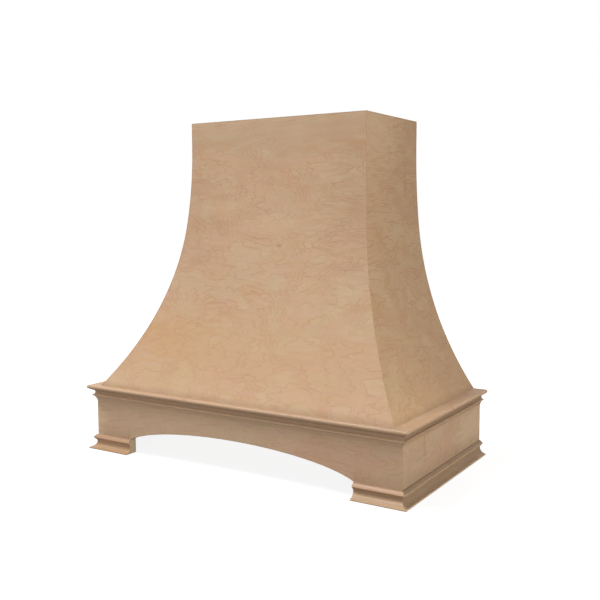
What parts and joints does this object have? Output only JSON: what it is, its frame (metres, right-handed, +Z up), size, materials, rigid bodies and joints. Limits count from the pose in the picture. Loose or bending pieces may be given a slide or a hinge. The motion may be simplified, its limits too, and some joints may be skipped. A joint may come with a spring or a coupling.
{
  "type": "wooden range hood cover",
  "caption": "Flared wooden range hood cover with an arched apron, two mouldings and a ribbed chimney, open below, above and behind.",
  "frame": {"origin": "middle of the bottom of the hood's bounding box, mouldings included", "axes": "+X to the right seen from the room, +Y towards the wall, +Z up; the left and right halves mirror each other in X"},
  "size_m": [0.9544, 0.5026, 0.8827],
  "materials": {
    "maple_veneer": "unfinished sanded maple veneer",
    "maple_moulding": "unfinished sanded solid maple",
    "birch_plywood": "unfinished plywood, plies showing on the edges",
    "poplar": "planed, unfinished",
    "screw_steel": "zinc plated"
  },
  "bodies": {
    "root": {"chimney_front_panel": "maple_veneer", "chimney_left_panel": "maple_veneer", "chimney_right_panel": "maple_veneer", "apron_front": "maple_veneer", "apron_left": "maple_veneer", "apron_right": "maple_veneer", "top_moulding_front": "maple_moulding", "top_moulding_left": "maple_moulding", "top_moulding_right": "maple_moulding", "base_moulding_left": "maple_moulding", "base_moulding_right": "maple_moulding", "base_return_left": "maple_moulding", "base_return_right": "maple_moulding", "left_front_rib": "birch_plywood", "right_front_rib": "birch_plywood", "left_side_rib": "birch_plywood", "right_side_rib": "birch_plywood", "left_back_rib": "birch_plywood", "right_back_rib": "birch_plywood", "base_frame_front": "birch_plywood", "base_frame_back": "birch_plywood", "base_frame_left": "birch_plywood", "base_frame_right": "birch_plywood", "insert_panel": "birch_plywood", "left_hip_post": "poplar", "right_hip_post": "poplar", "top_front_rail": "poplar", "top_left_rail": "poplar", "top_right_rail": "poplar", "hanging_rail": "poplar", "back_spreader": "poplar", "apron_back_rail": "poplar", "front_cleat": "poplar", "back_cleat": "poplar", "left_cleat": "poplar", "right_cleat": "poplar", "left_front_block": "poplar", "right_front_block": "poplar", "left_rear_block": "poplar", "right_rear_block": "poplar", "cleat_screws": "screw_steel", "base_frame_screws": "screw_steel", "insert_panel_screws": "screw_steel", "rib_screws": "screw_steel", "spreader_screws": "screw_steel", "hanging_rail_screws": "screw_steel", "block_screws": "screw_steel"}
  },
  "joints": []
}
